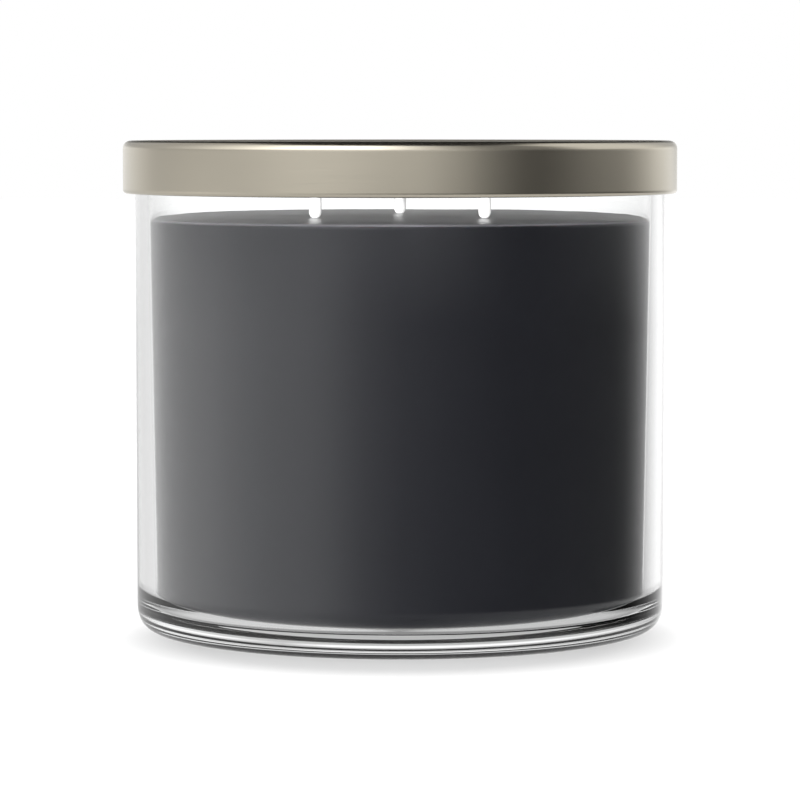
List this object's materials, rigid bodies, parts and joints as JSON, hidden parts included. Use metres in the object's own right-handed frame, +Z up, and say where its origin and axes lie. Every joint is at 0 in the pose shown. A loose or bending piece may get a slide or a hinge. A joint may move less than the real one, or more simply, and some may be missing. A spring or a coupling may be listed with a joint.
{
  "type": "jar candle",
  "caption": "Container candle: dark wax with standing wicks in a clear, thick-based glass jar, closed by a flat press-on metal lid that lifts off.",
  "frame": {"origin": "centre of the jar's round foot, on the surface it stands on", "axes": "+Z up along the jar's axis; -Y towards the pair of front wicks, +Y towards the single rear wick; +X to the right seen from -Y"},
  "size_m": [0.1016, 0.1016, 0.0897],
  "materials": {
    "jar_glass": "polished",
    "wax_charcoal": "satin",
    "wick_cotton": "matte",
    "wick_core_paper": "matte",
    "sustainer_steel": "satin",
    "pad_foam": "matte",
    "lid_metal": "satin",
    "lid_plastic": "satin",
    "seal_silicone": "satin",
    "label_paper": "matte"
  },
  "bodies": {
    "jar": {"glass_jar": "jar_glass", "wax_fill": "wax_charcoal", "wick_left": "wick_cotton", "wick_right": "wick_cotton", "wick_rear": "wick_cotton", "wick_core_left": "wick_core_paper", "wick_core_right": "wick_core_paper", "wick_core_rear": "wick_core_paper", "sustainer_left": "sustainer_steel", "sustainer_right": "sustainer_steel", "sustainer_rear": "sustainer_steel", "wick_pad_left": "pad_foam", "wick_pad_right": "pad_foam", "wick_pad_rear": "pad_foam", "base_label": "label_paper"},
    "seal": {"lid_seal": "seal_silicone"},
    "lid": {"lid_shell": "lid_metal", "lid_insert": "lid_plastic"}
  },
  "joints": [
    {"name": "lid_lift", "type": "slide", "parent": "jar", "child": "seal", "axis": [0, 0, 1], "range_m": [0, 0.06]},
    {"name": "lid_turn", "type": "hinge", "parent": "seal", "child": "lid", "pos_m": [0, 0, 0.0801], "axis": [0, 0, 1], "continuous": true}
  ]
}
